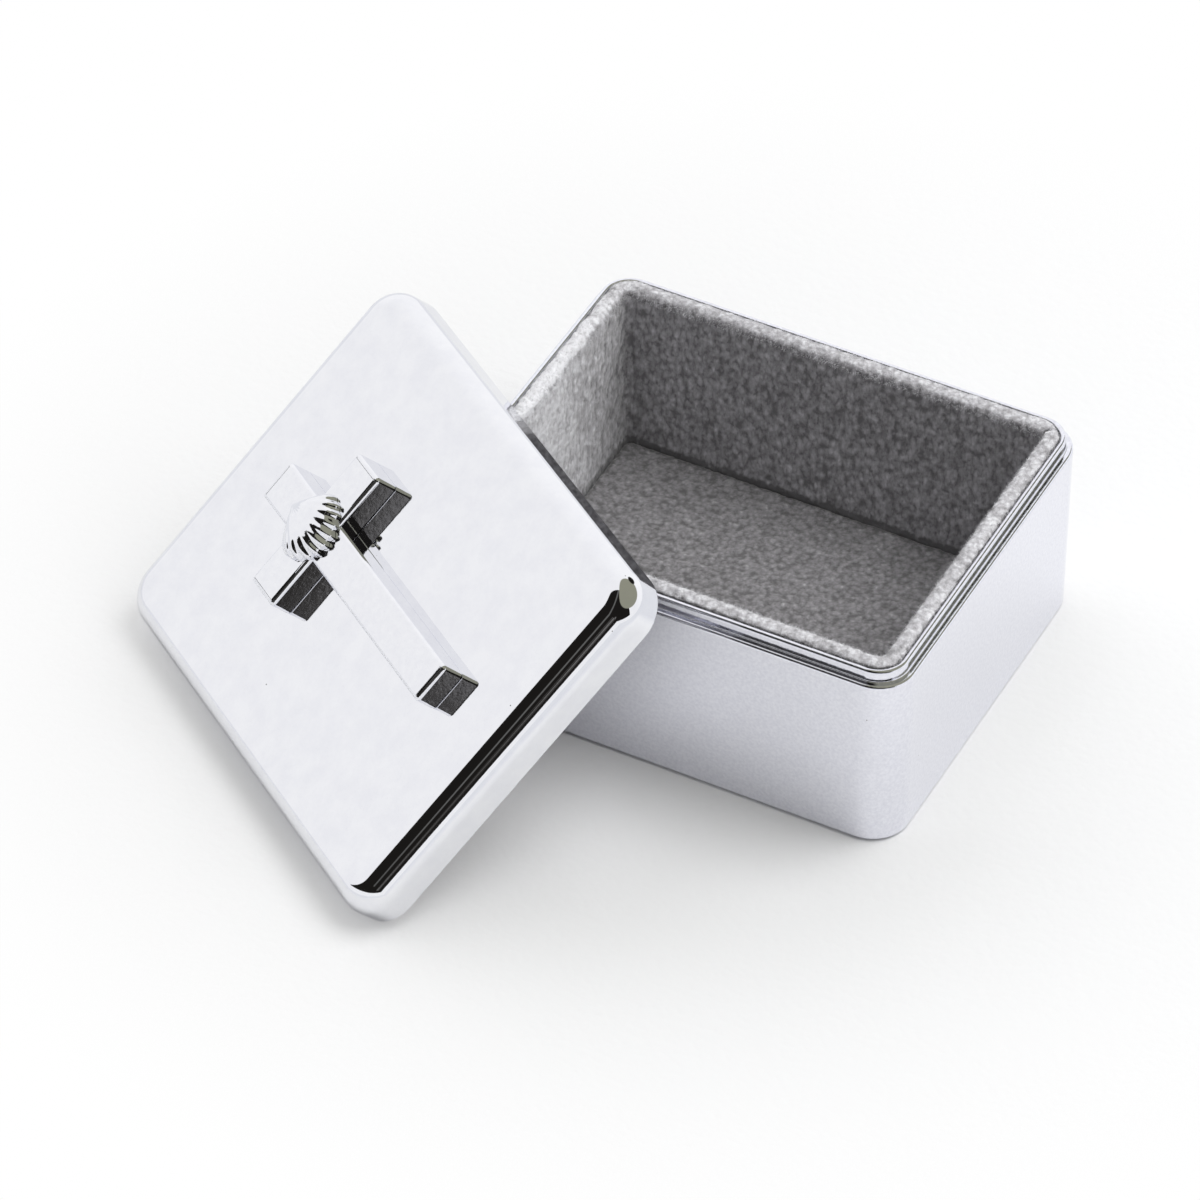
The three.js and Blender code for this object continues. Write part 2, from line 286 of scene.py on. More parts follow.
def raise_nap(piece, clump, height, lean, seed):
    """Velvet nap: soft clumps that lie one way, with finer tufts on them. The height is kept as an
    attribute that paints the hollows darker as painted shade.
    """
    mesh = piece.data
    pile_shade = mesh.attributes.new("pile_shade", "FLOAT", "POINT")
    normals = [vertex.normal.copy() for vertex in mesh.vertices]
    for vertex, normal in zip(mesh.vertices, normals):
        point = Vector((vertex.co.x, vertex.co.y, vertex.co.z * lean)) / clump
        point += Vector((seed, seed * 2.3, seed * 1.7))
        broad = noise.noise(point) + 0.3 * noise.noise(point * 0.31)
        fine = noise.noise(point * 2.3)
        lift = 0.62 * broad + 0.5 * fine
        pile_shade.data[vertex.index].value = 0.5 + 0.5 * lift
        vertex.co += normal * height * lift
    for polygon in mesh.polygons:
        polygon.use_smooth = True


def stand_fibres(piece, where, count, length, seed):
    """Single fibres where the pile is bent open, each one a thin spike rooted in the cloth, pale
    with painted light and palest at its tip.
    """
    chance = random.Random(seed)
    mesh = piece.data
    faces = [face for face in mesh.polygons if where(face.center)]
    corners, sides = [], []
    for face in chance.choices(faces, weights=[face.area for face in faces], k=count):
        first, second, third = (mesh.vertices[index].co for index in face.vertices[:3])
        low, high = sorted((chance.random(), chance.random()))
        root = first * low + second * (high - low) + third * (1 - high)
        bend = Vector([chance.gauss(0, 0.4) for _ in range(3)])
        way = (face.normal + bend).normalized()
        side = way.orthogonal().normalized() * FIBRE_WIDTH
        across = way.cross(side)
        tip = len(corners) + 3
        corners += [
            root - way * FIBRE_ROOT + side,
            root - way * FIBRE_ROOT - side * 0.5 + across * 0.87,
            root - way * FIBRE_ROOT - side * 0.5 - across * 0.87,
            root + way * length * chance.uniform(0.45, 1),
        ]
        sides += [(tip - 3, tip - 2, tip), (tip - 2, tip - 1, tip), (tip - 1, tip - 3, tip)]
        sides.append((tip - 1, tip - 2, tip - 3))
    spikes = bpy.data.meshes.new("fibres")
    spikes.from_pydata(corners, [], sides)
    # Painted light: each fibre is pale in the pile's shade, its tip palest, where light catches it.
    fibre_light = spikes.attributes.new("pile_shade", "FLOAT", "POINT")
    for index in range(len(corners)):
        fibre_light.data[index].value = 0.9 + 0.6 * (index % 4 == 3)
    fibres = bpy.data.objects.new("fibres", spikes)
    bpy.context.collection.objects.link(fibres)
    bpy.ops.object.select_all(action="DESELECT")
    fibres.select_set(True)
    piece.select_set(True)
    bpy.context.view_layer.objects.active = piece
    bpy.ops.object.join()


def clamped(value):
    return min(max(value, 0), 1)


def velvet(name, low, high, stretch):
    """Short grey pile in small tufts, with painted shade in the hollows between them and painted
    light on the tips.
    """
    material = bpy.data.materials.new(name)
    material.use_nodes = True
    nodes = material.node_tree.nodes
    link = material.node_tree.links.new
    surface = nodes["Principled BSDF"]
    surface.inputs["Roughness"].default_value = 1
    surface.inputs["Specular IOR Level"].default_value = 0.1
    surface.inputs["Sheen Weight"].default_value = 0.5
    surface.inputs["Sheen Roughness"].default_value = 0.4
    place = nodes.new("ShaderNodeTexCoord")
    drawn = nodes.new("ShaderNodeMapping")
    drawn.inputs["Scale"].default_value = (1, 1, stretch)
    link(place.outputs["Object"], drawn.inputs["Vector"])
    sway = nodes.new("ShaderNodeTexNoise")
    sway.inputs["Scale"].default_value = 1400
    link(drawn.outputs["Vector"], sway.inputs["Vector"])
    bent = nodes.new("ShaderNodeVectorMath")
    bent.operation = "MULTIPLY_ADD"
    bent.inputs[1].default_value = (0.0006, 0.0006, 0.0006)
    link(sway.outputs["Color"], bent.inputs[0])
    link(drawn.outputs["Vector"], bent.inputs[2])
    tufts = nodes.new("ShaderNodeTexVoronoi")
    tufts.inputs["Scale"].default_value = 1650
    link(bent.outputs["Vector"], tufts.inputs["Vector"])
    fibres = nodes.new("ShaderNodeTexNoise")
    fibres.inputs["Scale"].default_value = 5200
    fibres.inputs["Detail"].default_value = 3
    fibres.inputs["Roughness"].default_value = 0.7
    link(drawn.outputs["Vector"], fibres.inputs["Vector"])
    pile_shade = nodes.new("ShaderNodeAttribute")
    pile_shade.attribute_name = "pile_shade"
    pile = pile_shade.outputs["Fac"]
    # Painted shade: the pile darkens away from each tuft's centre, in the hollows between the
    # tufts.
    for source, share in [(tufts.outputs["Distance"], -0.6), (fibres.outputs["Fac"], 0.75)]:
        adding = nodes.new("ShaderNodeMath")
        adding.operation = "MULTIPLY_ADD"
        adding.inputs[1].default_value = share
        link(source, adding.inputs[0])
        link(pile, adding.inputs[2])
        pile = adding.outputs["Value"]
    tones = nodes.new("ShaderNodeValToRGB")
    tones.color_ramp.elements[0].position = 0.2
    tones.color_ramp.elements[0].color = (*low, 1)
    tones.color_ramp.elements[1].position = 0.66
    tones.color_ramp.elements[1].color = (*high, 1)
    # The palest tone is painted light, reached on the fibres' tips and the top of the fold.
    tones.color_ramp.elements.new(0.95).color = (0.84, 0.84, 0.87, 1)
    shallow = nodes.new("ShaderNodeMath")
    shallow.operation = "MULTIPLY"
    shallow.inputs[1].default_value = 0.7
    link(pile, shallow.inputs[0])
    link(shallow.outputs["Value"], tones.inputs["Fac"])
    link(tones.outputs["Color"], surface.inputs["Base Color"])
    bump = nodes.new("ShaderNodeBump")
    bump.inputs["Strength"].default_value = 1
    bump.inputs["Distance"].default_value = 0.00011
    link(pile, bump.inputs["Height"])
    link(bump.outputs["Normal"], surface.inputs["Normal"])
    return material


wall_lining = block(
    "velvet_wall_lining",
    (BOX_LENGTH - 2 * LINING_OUTSIDE, BOX_WIDTH - 2 * LINING_OUTSIDE, LINING_TOP - FLAP_FOOT),
    (0, 0, (LINING_TOP + FLAP_FOOT) / 2),
)
bpy.ops.object.mode_set(mode="EDIT")
round_corners(wall_lining, LINING_TOP - FLAP_FOOT, CORNER_RADIUS - LINING_OUTSIDE, 10)
pick_faces(wall_lining, lambda centre, normal: normal.z > 0.9)
bpy.ops.mesh.inset(thickness=LINING_INSIDE - LINING_OUTSIDE - LINING_LEAN)
push(LINING_FOOT - LINING_TOP)
bpy.ops.transform.resize(
    value=(1 - 2 * LINING_LEAN / BOX_LENGTH, 1 - 2 * LINING_LEAN / BOX_WIDTH, 1),
    center_override=(0, 0, LINING_FOOT),
    orient_type="GLOBAL",
)
pick_faces(wall_lining, lambda centre, normal: normal.z < -0.9)
bpy.ops.mesh.inset(thickness=CARD_OUTSIDE - LINING_OUTSIDE)
push(CARD_TOP - FLAP_FOOT)
bpy.ops.mesh.inset(thickness=CARD_INSIDE - CARD_OUTSIDE)
push(LINING_FOOT - CARD_TOP)
pick_faces(wall_lining, lambda centre, normal: centre.z < LINING_FOOT + 1e-5)
bpy.ops.mesh.delete(type="ONLY_FACE")
pick_edges(wall_lining, lambda a, b: max(a.z, b.z) < LINING_FOOT + 1e-5)
bpy.ops.mesh.bridge_edge_loops()
bpy.ops.mesh.select_all(action="SELECT")
bpy.ops.mesh.remove_doubles(threshold=2e-5)
pick_faces(wall_lining, lambda centre, normal: normal.z > 0.9 and centre.z > LINING_TOP - 1e-5)
bpy.ops.mesh.region_to_loop()
bpy.ops.mesh.bevel(offset=FOLD_ROUND, segments=6)
bpy.ops.object.mode_set(mode="OBJECT")
joint = block("joint_gap", (0.03, JOINT_WIDTH, 0.06), (0, 0, 0))
joint.rotation_euler = (0, 0, math.radians(45))
joint.location = (BOX_LENGTH / 2 + JOINT_BEYOND, BOX_WIDTH / 2 + JOINT_BEYOND, 0.02)
bpy.ops.object.transform_apply(location=True, rotation=True, scale=True)
cut_away(wall_lining, joint)
remesh(wall_lining, NAP_GRID)
raise_nap(wall_lining, NAP_CLUMP, NAP_HEIGHT, 0.7, 3.1)
wall_pile_shade = wall_lining.data.attributes["pile_shade"]
outward = [vertex.normal.copy() for vertex in wall_lining.data.vertices]
for vertex in wall_lining.data.vertices:
    fold_top = clamped((vertex.co.z - FOLD_TOP_FROM) / FOLD_TOP_OVER)
    foot_shade = clamped((FOOT_DARK_BELOW - vertex.co.z) / FOOT_DARK_OVER)
    # Painted light: the top of the fold is made lighter.
    wall_pile_shade.data[vertex.index].value += FOLD_PAINTED_LIGHT * fold_top
    # Painted shade at the foot of the walls.
    wall_pile_shade.data[vertex.index].value -= FOOT_PAINTED_SHADE * foot_shade
    # Painted sheen on the left wall, lighter towards the front.
    if vertex.co.x < LINING_INSIDE - BOX_LENGTH / 2 + LINING_LEAN:
        left_wall_sheen = clamped((LEFT_WALL_SHEEN_FROM - vertex.co.y) / LEFT_WALL_SHEEN_OVER)
        wall_pile_shade.data[vertex.index].value += LEFT_WALL_PAINTED_SHEEN * left_wall_sheen
    if inset_of(vertex.co, BOX_LENGTH, BOX_WIDTH) < FOLD_WIDTH:
        vertex.co.x += outward[vertex.index].x * LINING_OVERHANG * fold_top
        vertex.co.y += outward[vertex.index].y * LINING_OVERHANG * fold_top
stand_fibres(wall_lining, lambda point: point.z > FIBRES_ABOVE, FIBRE_COUNT, FIBRE_LENGTH, 5)
# Painted light: the wall velvet gets lighter tones than the floor and lid pads' copies of the same
# cloth, as the upright walls get less light.
wall_lining.data.materials.append(
    velvet("grey_velvet_wall", (0.205, 0.20, 0.207), (0.54, 0.53, 0.555), 0.5)
)
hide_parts("wall_lining_velvet")
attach(wall_lining, "box")

# The floor pad is the same velvet wrapped over a thin card and dropped in between the walls.
# Its edges are soft, and a dark seam is painted all round as shade in the gap at the walls.
PAD_INSET = 0.00415
PAD_FOOT = 0.00205
PAD_TOP = 0.00285
PAD_CORNER = 0.0008
PAD_EDGE = 0.0006
SEAM_WIDTH = 0.0008
SEAM_SHADE_OVER = 0.0006
SEAM_PAINTED_SHADE = 0.6

floor_pad = block(
    "velvet_floor_pad",
    (BOX_LENGTH - 2 * PAD_INSET, BOX_WIDTH - 2 * PAD_INSET, PAD_TOP - PAD_FOOT),
    (0, 0, (PAD_TOP + PAD_FOOT) / 2),
)
bpy.ops.object.mode_set(mode="EDIT")
round_corners(floor_pad, PAD_TOP - PAD_FOOT, PAD_CORNER, 4)
pick_edges(floor_pad, lambda a, b: min(a.z, b.z) > PAD_TOP - 1e-5)
bpy.ops.mesh.bevel(offset=PAD_EDGE, segments=5)
bpy.ops.object.mode_set(mode="OBJECT")
remesh(floor_pad, NAP_GRID)
raise_nap(floor_pad, NAP_CLUMP, NAP_HEIGHT, 1, 7.7)
pile = floor_pad.data.attributes["pile_shade"]
for vertex in floor_pad.data.vertices:
    inside = inset_of(vertex.co, BOX_LENGTH, BOX_WIDTH) - PAD_INSET
    # Painted shade: the pile is darker near the pad's edge, in the gap against the walls.
    pile.data[vertex.index].value -= SEAM_PAINTED_SHADE * clamped((SEAM_WIDTH - inside) / SEAM_SHADE_OVER)
# Painted shade: the same cloth in darker tones than on the walls.
floor_pad.data.materials.append(
    velvet("grey_velvet_floor", (0.15, 0.146, 0.15), (0.36, 0.35, 0.365), 1)
)
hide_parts("floor_pad_velvet")
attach(floor_pad, "box")

# The linings of the walls, the floor and the lid are each glued to a piece of dense grey card.
# The cards are cut with a knife and stay out of sight, but for the strip's joint at one corner.


def card_stock():
    material = bpy.data.materials.new("lining_card")
    material.use_nodes = True
    nodes = material.node_tree.nodes
    link = material.node_tree.links.new
    surface = nodes["Principled BSDF"]
    surface.inputs["Roughness"].default_value = 0.9
    place = nodes.new("ShaderNodeTexCoord")
    pulp = nodes.new("ShaderNodeTexNoise")
    pulp.inputs["Scale"].default_value = 1500
    link(place.outputs["Object"], pulp.inputs["Vector"])
    tones = nodes.new("ShaderNodeValToRGB")
    tones.color_ramp.elements[0].color = (0.07, 0.07, 0.075, 1)
    tones.color_ramp.elements[1].color = (0.16, 0.16, 0.17, 1)
    link(pulp.outputs["Fac"], tones.inputs["Fac"])
    link(tones.outputs["Color"], surface.inputs["Base Color"])
    return material


card = card_stock()
for node in ("wall_lining_card", "floor_pad_card", "lid_pad_card"):
    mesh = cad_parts[node].data
    mesh.materials.clear()
    mesh.materials.append(card)

# A thin dark felt is glued into the recess under the box. It is cut from sheet and stands a little
# proud of the metal, so that the box doesn't scratch a table.
FELT_INSET = 0.0025
FELT_THICKNESS = 0.0006

felt = block(
    "felt_under_box",
    (BOX_LENGTH - 2 * FELT_INSET, BOX_WIDTH - 2 * FELT_INSET, FELT_THICKNESS),
    (0, 0, FELT_THICKNESS / 2),
)
bpy.ops.object.mode_set(mode="EDIT")
round_corners(felt, FELT_THICKNESS, CORNER_RADIUS - FELT_INSET, 8)
pick_edges(felt, lambda a, b: abs(a.z - b.z) < 1e-6)
bpy.ops.mesh.bevel(offset=0.00012, segments=2)
bpy.ops.object.mode_set(mode="OBJECT")


def pressed_felt():
    """Matted fibres: a dark cloth with a fine random bump and no weave."""
    material = bpy.data.materials.new("pressed_felt")
    material.use_nodes = True
    nodes = material.node_tree.nodes
    link = material.node_tree.links.new
    surface = nodes["Principled BSDF"]
    surface.inputs["Roughness"].default_value = 1
    surface.inputs["Specular IOR Level"].default_value = 0.1
    surface.inputs["Sheen Weight"].default_value = 0.3
    place = nodes.new("ShaderNodeTexCoord")
    mat = nodes.new("ShaderNodeTexNoise")
    mat.inputs["Scale"].default_value = 2600
    mat.inputs["Detail"].default_value = 5
    mat.inputs["Distortion"].default_value = 1.5
    link(place.outputs["Object"], mat.inputs["Vector"])
    tones = nodes.new("ShaderNodeValToRGB")
    tones.color_ramp.elements[0].color = (0.008, 0.008, 0.010, 1)
    tones.color_ramp.elements[1].color = (0.032, 0.032, 0.037, 1)
    link(mat.outputs["Fac"], tones.inputs["Fac"])
    link(tones.outputs["Color"], surface.inputs["Base Color"])
    bump = nodes.new("ShaderNodeBump")
    bump.inputs["Distance"].default_value = 0.00006
    link(mat.outputs["Fac"], bump.inputs["Height"])
    link(bump.outputs["Normal"], surface.inputs["Normal"])
    return material


felt.data.materials.append(pressed_felt())
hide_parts("base_felt")
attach(felt, "box")

# The lid is drawn from the same metal: a flat top, a well rounded edge and a short skirt that
# drops over the lip. It stands on its long edge and leans on the box's near left corner.
LID_HEIGHT = 0.0056
LID_ROUND = 0.00275
LID_WALL = 0.0007
LID_ROOF = 0.0046
RIM_ROUND = 0.00018
LEAN_TURN = math.radians(145.42)
LEAN_REACH = 0.0241
LEAN_SHIFT = 0.00422
LEAN_DEPTH = 0.0011

head = Vector((math.cos(LEAN_TURN), math.sin(LEAN_TURN), 0))
inward = Vector((head.y, -head.x, 0))
tilt = math.acos(LEAN_DEPTH / math.hypot(LIP_TOP, LEAN_REACH)) - math.atan2(LEAN_REACH, LIP_TOP)
corner = Vector((CORNER_RADIUS - BOX_LENGTH / 2, CORNER_RADIUS - BOX_WIDTH / 2, 0))
stand = corner - inward * (CORNER_RADIUS - LEDGE_WIDTH + LEAN_REACH) - head * LEAN_SHIFT
stand.z = -RIM_ROUND * (math.cos(tilt) + math.sin(tilt) - 1)
arm = inward * math.cos(tilt) + Vector((0, 0, math.sin(tilt)))


def set_on_lid(piece):
    """Moves a piece from the lid's own frame, with z = 0 at its rim, to where the lid leans."""
    bpy.ops.object.select_all(action="DESELECT")
    piece.select_set(True)
    bpy.context.view_layer.objects.active = piece
    piece.rotation_euler = Euler((0, -tilt, LEAN_TURN - math.pi / 2))
    piece.location = stand + arm * (BOX_WIDTH / 2)
    bpy.ops.object.transform_apply(location=True, rotation=True, scale=True)


lid = block("plated_lid", (BOX_WIDTH, BOX_LENGTH, LID_HEIGHT), (0, 0, LID_HEIGHT / 2))
bpy.ops.object.mode_set(mode="EDIT")
round_corners(lid, LID_HEIGHT, CORNER_RADIUS, 20)
pick_faces(lid, lambda centre, normal: normal.z < -0.9)
bpy.ops.mesh.inset(thickness=LID_WALL)
push(LID_ROOF)
for height, inset, radius, segments in [
    (LID_HEIGHT, 0, LID_ROUND, 16),
    (LID_ROOF, LID_WALL, LID_ROUND - LID_WALL, 8),
    (0, 0, RIM_ROUND, 4),
    (0, LID_WALL, RIM_ROUND, 4),
]:
    pick_edges(lid, edge_loop(BOX_WIDTH, BOX_LENGTH, height, inset))
    bpy.ops.mesh.bevel(offset=radius, segments=segments)
polish(lid)
set_on_lid(lid)
lid.data.materials.append(silver_plate("silver_plate_lid", 0.000004, 0.0028, 0.31))
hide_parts("lid_shell")
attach(lid, "lid")

# A plump velvet pad is glued inside the lid. It goes down between the lining's folds when the
# lid is on, and here it rests on the lip's corner.
LID_PAD_INSET = 0.00425
LID_PAD_FACE = 0.0013
LID_PAD_BACK = 0.0039
LID_PAD_CORNER = 0.0012
LID_PAD_EDGE = 0.0007
LID_NAP_GRID = 0.00034
LID_NAP_HEIGHT = 0.00018

lid_pad = block(
    "velvet_lid_pad",
    (BOX_WIDTH - 2 * LID_PAD_INSET, BOX_LENGTH - 2 * LID_PAD_INSET, LID_PAD_BACK - LID_PAD_FACE),
    (0, 0, (LID_PAD_BACK + LID_PAD_FACE) / 2),
)
bpy.ops.object.mode_set(mode="EDIT")
round_corners(lid_pad, LID_PAD_BACK - LID_PAD_FACE, LID_PAD_CORNER, 4)
pick_edges(lid_pad, lambda a, b: max(a.z, b.z) < LID_PAD_FACE + 1e-5)
bpy.ops.mesh.bevel(offset=LID_PAD_EDGE, segments=5)
bpy.ops.object.mode_set(mode="OBJECT")
remesh(lid_pad, LID_NAP_GRID)
raise_nap(lid_pad, NAP_CLUMP, LID_NAP_HEIGHT, 1, 12.4)
set_on_lid(lid_pad)
# Painted shade: the same cloth in darker tones than on the walls.
lid_pad.data.materials.append(
    velvet("grey_velvet_lid", (0.15, 0.146, 0.15), (0.36, 0.35, 0.365), 1)
)
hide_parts("lid_pad_velvet")
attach(lid_pad, "lid")

# A cast Latin cross is soldered on the lid. Its sides stand square, and its upper edges and its
# end corners are polished round.
CROSS_BEAM = 0.00515
CROSS_SPAN = 0.0191
CROSS_FOOT = -0.0187
CROSS_HEAD = 0.0193
CROSS_ARMS_AT = 0.00965
CROSS_ASIDE = 0.00025
CROSS_HEIGHT = 0.0032
CROSS_EDGE = 0.0006
CROSS_FOOT_EDGE = 0.00012
CROSS_END_CORNER = 0.0005
CROSS_BASE = LID_HEIGHT + 0.00005
CROSS_TOP = CROSS_BASE + CROSS_HEIGHT

cross = block(
    "latin_cross",
    (CROSS_BEAM, CROSS_BEAM, CROSS_HEIGHT),
    (CROSS_ASIDE, CROSS_ARMS_AT, (CROSS_BASE + CROSS_TOP) / 2),
)
bpy.ops.object.mode_set(mode="EDIT")
arm_length = (CROSS_SPAN - CROSS_BEAM) / 2
crossing = Vector((CROSS_ASIDE, CROSS_ARMS_AT, (CROSS_BASE + CROSS_TOP) / 2))
for way, length in [
    (Vector((1, 0, 0)), arm_length),
    (Vector((-1, 0, 0)), arm_length),
    (Vector((0, 1, 0)), CROSS_HEAD - CROSS_ARMS_AT - CROSS_BEAM / 2),
    (Vector((0, -1, 0)), CROSS_ARMS_AT - CROSS_BEAM / 2 - CROSS_FOOT),
]:
    pick_faces(
        cross,
        lambda centre, normal: normal.dot(way) > 0.9
        and (centre - crossing).length < CROSS_BEAM * 0.6,
    )
    bpy.ops.mesh.extrude_region_move(TRANSFORM_OT_translate={"value": way * length})


def on_an_end(point):
    ends = (abs(point.x - CROSS_ASIDE) - CROSS_SPAN / 2, point.y - CROSS_HEAD, point.y - CROSS_FOOT)
    return any(abs(gap) < 1e-5 for gap in ends)


pick_edges(cross, lambda a, b: abs(a.z - b.z) > 0.001 and on_an_end(a))
bpy.ops.mesh.bevel(offset=CROSS_END_CORNER, segments=6)
pick_faces(cross, lambda centre, normal: normal.z > 0.9)
bpy.ops.mesh.region_to_loop()
bpy.ops.mesh.bevel(offset=CROSS_EDGE, segments=9)
pick_faces(cross, lambda centre, normal: normal.z < -0.9)
bpy.ops.mesh.region_to_loop()
bpy.ops.mesh.bevel(offset=CROSS_FOOT_EDGE, segments=5)
polish(cross)
set_on_lid(cross)
cross_plate = silver_plate("silver_plate_cross", 0.000011, 0.0008, 0.57)
cross.data.materials.append(cross_plate)
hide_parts("cross")
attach(cross, "lid")

# A cast scallop shell covers the crossing. Round ribs fan out from its beak at the head side,
# swell to a crown and drop steeply at the lobed rim.
SHELL_RADIUS = 0.0043
SHELL_BEAK = 0.00335
SHELL_SHIFT = 0.00085
SHELL_HALF_FAN = math.radians(53)
SHELL_RIBS = 11
SHELL_RIM_HEIGHT = 0.0013
SHELL_CROWN = 0.0006
SHELL_RIB_DEPTH = 0.0002
SHELL_LOBE = 0.02
SHELL_NOSE = 0.16
SHELL_NOSE_DROP = 0.85
SHELL_BASE = CROSS_TOP + 0.00005

bpy.ops.object.select_all(action="DESELECT")
bpy.ops.mesh.primitive_grid_add(x_subdivisions=SHELL_RIBS * 12, y_subdivisions=60, size=2)
scallop = bpy.context.object
scallop.name = "scallop_shell_relief"


def shell_point(across, out):
    """across runs from -1 to 1 over the fan, out from 0 at the beak to 1 at the rim."""
    angle = across * SHELL_HALF_FAN
    reach = SHELL_BEAK * math.cos(angle)
    reach += math.sqrt(SHELL_RADIUS**2 - (SHELL_BEAK * math.sin(angle)) ** 2)
    ridge = math.cos(math.pi * SHELL_RIBS * (across + 1) + math.pi)
    radius = reach * out * (1 + SHELL_LOBE * ridge * out**3)
    side = math.sqrt(1 - 0.72 * across**4)
    rise = 0.55 + 0.45 * math.sin(math.pi * min(out * 0.62 + 0.1, 1))
    crown = SHELL_CROWN * math.sin(math.pi * min(out, 0.5)) * (1 - out**8) * math.cos(angle)
    groove = SHELL_RIB_DEPTH * ridge * (0.07 * out + 0.6 * out**8)
    past = max(out - (1 - SHELL_NOSE), 0) / SHELL_NOSE
    nose = math.sqrt(1 - SHELL_NOSE_DROP * past**2)
    height = (SHELL_RIM_HEIGHT * rise * side + crown + groove * side) * nose
    return Vector((
        CROSS_ASIDE + radius * math.sin(angle),
        CROSS_ARMS_AT + SHELL_SHIFT + SHELL_BEAK - radius * math.cos(angle),
        SHELL_BASE + height,
    ))


for vertex in scallop.data.vertices:
    vertex.co = shell_point(vertex.co.x, 0.04 + 0.96 * (vertex.co.y + 1) / 2)
bpy.ops.object.mode_set(mode="EDIT")
bpy.ops.mesh.select_all(action="SELECT")
bpy.ops.mesh.normals_make_consistent(inside=False)
bpy.ops.mesh.select_all(action="SELECT")
bpy.ops.mesh.region_to_loop()
bpy.ops.mesh.extrude_edges_move()
bpy.ops.transform.resize(
    value=(1, 1, 0), center_override=(0, CROSS_ARMS_AT, SHELL_BASE), orient_type="GLOBAL"
)
bpy.ops.mesh.edge_face_add()
bpy.ops.mesh.select_all(action="SELECT")
bpy.ops.mesh.normals_make_consistent(inside=False)
bpy.ops.object.mode_set(mode="OBJECT")
bpy.ops.object.shade_smooth_by_angle(angle=math.radians(50))
set_on_lid(scallop)
scallop.data.materials.append(cross_plate)
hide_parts("scallop_shell")
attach(scallop, "lid")

# A pale paper sweep under the object, a large soft light above on the right and a weak one in
# front, and the dark side of the studio round the camera, which the mirror surfaces pick up.
PAPER_WHITE_FROM = 0.078
PAPER_WHITE_AT = 0.14
PAPER_WHITE_NEARER = 0.035
CEILING_DISC = (0.412, 0.150, 0.899)
DARK_CAP = (0.180, 0.778, 0.602)

bpy.ops.object.select_all(action="DESELECT")
bpy.ops.mesh.primitive_plane_add(size=4, location=(0, 0, -0.00003))
paper = bpy.context.object
paper.name = "paper_sweep"
sheet_white = bpy.data.materials.new("white_paper")
sheet_white.use_nodes = True
nodes = sheet_white.node_tree.nodes
link = sheet_white.node_tree.links.new
surface = nodes["Principled BSDF"]
surface.inputs["Base Color"].default_value = (0.86, 0.86, 0.87, 1)
surface.inputs["Roughness"].default_value = 1
surface.inputs["Specular IOR Level"].default_value = 0
place = nodes.new("ShaderNodeTexCoord")
tooth = nodes.new("ShaderNodeTexNoise")
tooth.inputs["Scale"].default_value = 900
tooth.inputs["Detail"].default_value = 3
link(place.outputs["Object"], tooth.inputs["Vector"])
bump = nodes.new("ShaderNodeBump")
bump.inputs["Strength"].default_value = 0.35
bump.inputs["Distance"].default_value = 0.0002
link(tooth.outputs["Fac"], bump.inputs["Height"])
link(bump.outputs["Normal"], surface.inputs["Normal"])
glow = nodes.new("ShaderNodeEmission")
glow_tint = nodes.new("ShaderNodeMix")
glow_tint.data_type = "RGBA"
glow_tint.inputs["A"].default_value = (0.86, 0.87, 0.90, 1)
glow_tint.inputs["B"].default_value = (1, 1, 1, 1)
glow.inputs["Strength"].default_value = 1
far = nodes.new("ShaderNodeVectorMath")
far.operation = "LENGTH"
link(place.outputs["Object"], far.inputs[0])
fade = nodes.new("ShaderNodeMapRange")
fade.interpolation_type = "SMOOTHSTEP"
fade.inputs["From Min"].default_value = PAPER_WHITE_FROM
fade.inputs["From Max"].default_value = PAPER_WHITE_AT
rays = nodes.new("ShaderNodeLightPath")
nearer = nodes.new("ShaderNodeMath")
nearer.operation = "MULTIPLY_ADD"
nearer.inputs[1].default_value = PAPER_WHITE_NEARER
link(rays.outputs["Is Camera Ray"], nearer.inputs[0])
link(far.outputs["Value"], nearer.inputs[2])
link(nearer.outputs["Value"], fade.inputs["Value"])
link(rays.outputs["Is Camera Ray"], glow_tint.inputs["Factor"])
link(glow_tint.outputs["Result"], glow.inputs["Color"])
seen = nodes.new("ShaderNodeMath")
seen.operation = "MAXIMUM"
link(rays.outputs["Is Camera Ray"], seen.inputs[0])
link(rays.outputs["Is Glossy Ray"], seen.inputs[1])
share = nodes.new("ShaderNodeMath")
share.operation = "MULTIPLY"
link(seen.outputs["Value"], share.inputs[0])
link(fade.outputs["Result"], share.inputs[1])
mixed = nodes.new("ShaderNodeMixShader")
link(share.outputs["Value"], mixed.inputs["Fac"])
link(surface.outputs["BSDF"], mixed.inputs[1])
link(glow.outputs["Emission"], mixed.inputs[2])
link(mixed.outputs["Shader"], nodes["Material Output"].inputs["Surface"])
paper.data.materials.append(sheet_white)

world = bpy.data.worlds.new("studio")
bpy.context.scene.world = world
world.use_nodes = True
nodes = world.node_tree.nodes
link = world.node_tree.links.new
nodes["Background"].inputs["Color"].default_value = (1, 1, 1, 1)
way = nodes.new("ShaderNodeTexCoord")
parts = nodes.new("ShaderNodeSeparateXYZ")
link(way.outputs["Generated"], parts.inputs["Vector"])


def between(value, low, high, bottom=0.0, top=1.0):
    """A smooth step from bottom, where the value is at low, to top, where it is at high."""
    step = nodes.new("ShaderNodeMapRange")
    step.interpolation_type = "SMOOTHSTEP"
    step.inputs["From Min"].default_value = low
    step.inputs["From Max"].default_value = high
    step.inputs["To Min"].default_value = bottom
    step.inputs["To Max"].default_value = top
    link(value, step.inputs["Value"])
    return step.outputs["Result"]


